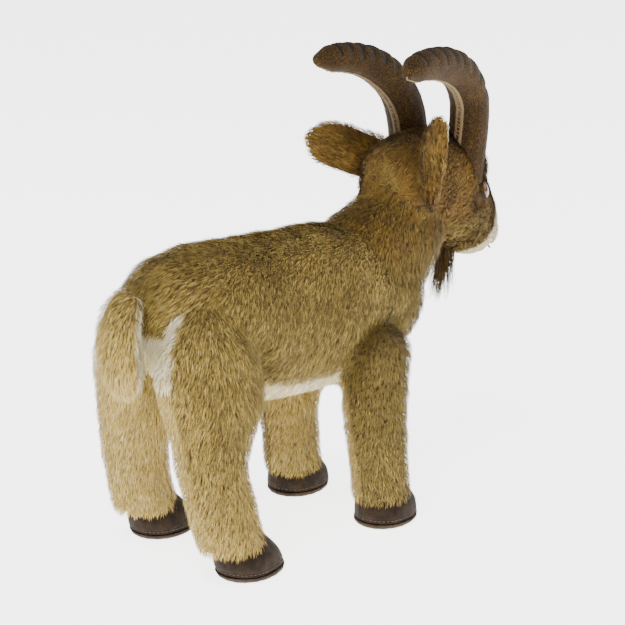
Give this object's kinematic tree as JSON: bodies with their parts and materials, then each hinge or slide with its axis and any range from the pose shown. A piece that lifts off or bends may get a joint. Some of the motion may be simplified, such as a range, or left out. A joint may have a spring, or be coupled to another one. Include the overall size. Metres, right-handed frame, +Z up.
{
  "type": "plush ibex toy",
  "caption": "Standing plush ibex with curved horns, turned head, fur coat and dark hooves; its head, ears, tail, beard and legs bend",
  "frame": {"origin": "on the ground at the bottom centre of the toy's bounding box, with the head turned as it is at rest", "axes": "+Z up; the animal faces -Y; its own left is +X"},
  "size_m": [0.1458, 0.382, 0.3389],
  "materials": {
    "tan_pile": "long-pile faux fur, golden tan back and legs",
    "pale_pile": "long-pile faux fur, light tan",
    "brown_pile": "long-pile faux fur, ginger brown",
    "cream_pile": "long-pile faux fur, cream",
    "ginger_pile": "short-pile faux fur, ginger",
    "horn_velour": "short speckled brown velour with dark bands",
    "hoof_suede": "dark brown suede cloth",
    "beard_pile": "long straight dark brown hair pile",
    "ear_velour": "cream velour",
    "nose_suede": "near-black suede cloth",
    "fibre_fill": "white polyester fibre filling",
    "steel_wire": "drawn steel wire",
    "eye_plastic": "dark amber, polished",
    "washer_plastic": "natural white, moulded"
  },
  "bodies": {
    "torso": {"back_panel_left": "tan_pile", "back_panel_right": "tan_pile", "belly_panel": "cream_pile", "rump_patch": "cream_pile", "torso_filling": "fibre_fill", "spine_wire": "steel_wire"},
    "neck": {"neck_panel_left": "tan_pile", "neck_panel_right": "tan_pile", "neck_filling": "fibre_fill", "neck_wire": "steel_wire"},
    "head": {"head_panel_left": "brown_pile", "head_panel_right": "brown_pile", "muzzle_panel": "cream_pile", "nose": "nose_suede", "head_filling": "fibre_fill", "eye_left": "eye_plastic", "eye_washer_left": "washer_plastic", "horn_outer_panel_left": "horn_velour", "horn_inner_panel_left": "horn_velour", "horn_filling_left": "fibre_fill", "eye_right": "eye_plastic", "eye_washer_right": "washer_plastic", "horn_outer_panel_right": "horn_velour", "horn_inner_panel_right": "horn_velour", "horn_filling_right": "fibre_fill"},
    "ear_left": {"ear_back_left": "ginger_pile", "ear_lining_left": "ear_velour"},
    "ear_right": {"ear_back_right": "ginger_pile", "ear_lining_right": "ear_velour"},
    "tail": {"tail_upper_panel": "ginger_pile", "tail_under_panel": "cream_pile", "tail_filling": "fibre_fill"},
    "beard": {"beard_tuft": "beard_pile"},
    "leg_front_left": {"leg_outer_panel_front_left": "tan_pile", "leg_inner_panel_front_left": "pale_pile", "leg_filling_front_left": "fibre_fill", "leg_wire_front_left": "steel_wire", "hoof_cover_front_left": "hoof_suede", "hoof_sole_front_left": "hoof_suede"},
    "leg_front_right": {"leg_outer_panel_front_right": "tan_pile", "leg_inner_panel_front_right": "pale_pile", "leg_filling_front_right": "fibre_fill", "leg_wire_front_right": "steel_wire", "hoof_cover_front_right": "hoof_suede", "hoof_sole_front_right": "hoof_suede"},
    "leg_rear_left": {"leg_outer_panel_rear_left": "tan_pile", "leg_inner_panel_rear_left": "pale_pile", "leg_filling_rear_left": "fibre_fill", "leg_wire_rear_left": "steel_wire", "hoof_cover_rear_left": "hoof_suede", "hoof_sole_rear_left": "hoof_suede"},
    "leg_rear_right": {"leg_outer_panel_rear_right": "tan_pile", "leg_inner_panel_rear_right": "pale_pile", "leg_filling_rear_right": "fibre_fill", "leg_wire_rear_right": "steel_wire", "hoof_cover_rear_right": "hoof_suede", "hoof_sole_rear_right": "hoof_suede"}
  },
  "joints": [
    {"name": "neck_nod", "type": "hinge", "parent": "torso", "child": "neck", "pos_m": [-0.00275, -0.03, 0.178], "axis": [1, 0, 0], "range_deg": [-12, 12]},
    {"name": "head_turn", "type": "hinge", "parent": "neck", "child": "head", "pos_m": [-0.00275, -0.078, 0.196], "axis": [0, 0, 1], "range_deg": [-40, 15]},
    {"name": "ear_flop_left", "type": "hinge", "parent": "head", "child": "ear_left", "pos_m": [0.03023, -0.07802, 0.246], "axis": [-0.3345, 0.7563, -0.5623], "range_deg": [-24, 24], "stiffness_Nm_per_rad": 0.03},
    {"name": "ear_flop_right", "type": "hinge", "parent": "head", "child": "ear_right", "pos_m": [-0.03816, -0.0724, 0.238], "axis": [0.7954, -0.489, 0.3581], "range_deg": [-24, 24], "stiffness_Nm_per_rad": 0.03},
    {"name": "beard_swing", "type": "hinge", "parent": "head", "child": "beard", "pos_m": [0.01225, -0.13816, 0.179], "axis": [0.9703, 0.2419, 0], "range_deg": [-20, 20]},
    {"name": "tail_lift", "type": "hinge", "parent": "torso", "child": "tail", "pos_m": [-0.00275, 0.164, 0.198], "axis": [1, 0, 0], "range_deg": [0, 90]},
    {"name": "leg_swing_front_left", "type": "hinge", "parent": "torso", "child": "leg_front_left", "pos_m": [0.03325, -0.012, 0.13], "axis": [1, 0, 0], "range_deg": [-12, 12]},
    {"name": "leg_swing_front_right", "type": "hinge", "parent": "torso", "child": "leg_front_right", "pos_m": [-0.03875, -0.012, 0.13], "axis": [1, 0, 0], "range_deg": [-12, 12]},
    {"name": "leg_swing_rear_left", "type": "hinge", "parent": "torso", "child": "leg_rear_left", "pos_m": [0.03125, 0.132, 0.16], "axis": [1, 0, 0], "range_deg": [-12, 12]},
    {"name": "leg_swing_rear_right", "type": "hinge", "parent": "torso", "child": "leg_rear_right", "pos_m": [-0.03675, 0.132, 0.16], "axis": [1, 0, 0], "range_deg": [-12, 12]}
  ]
}
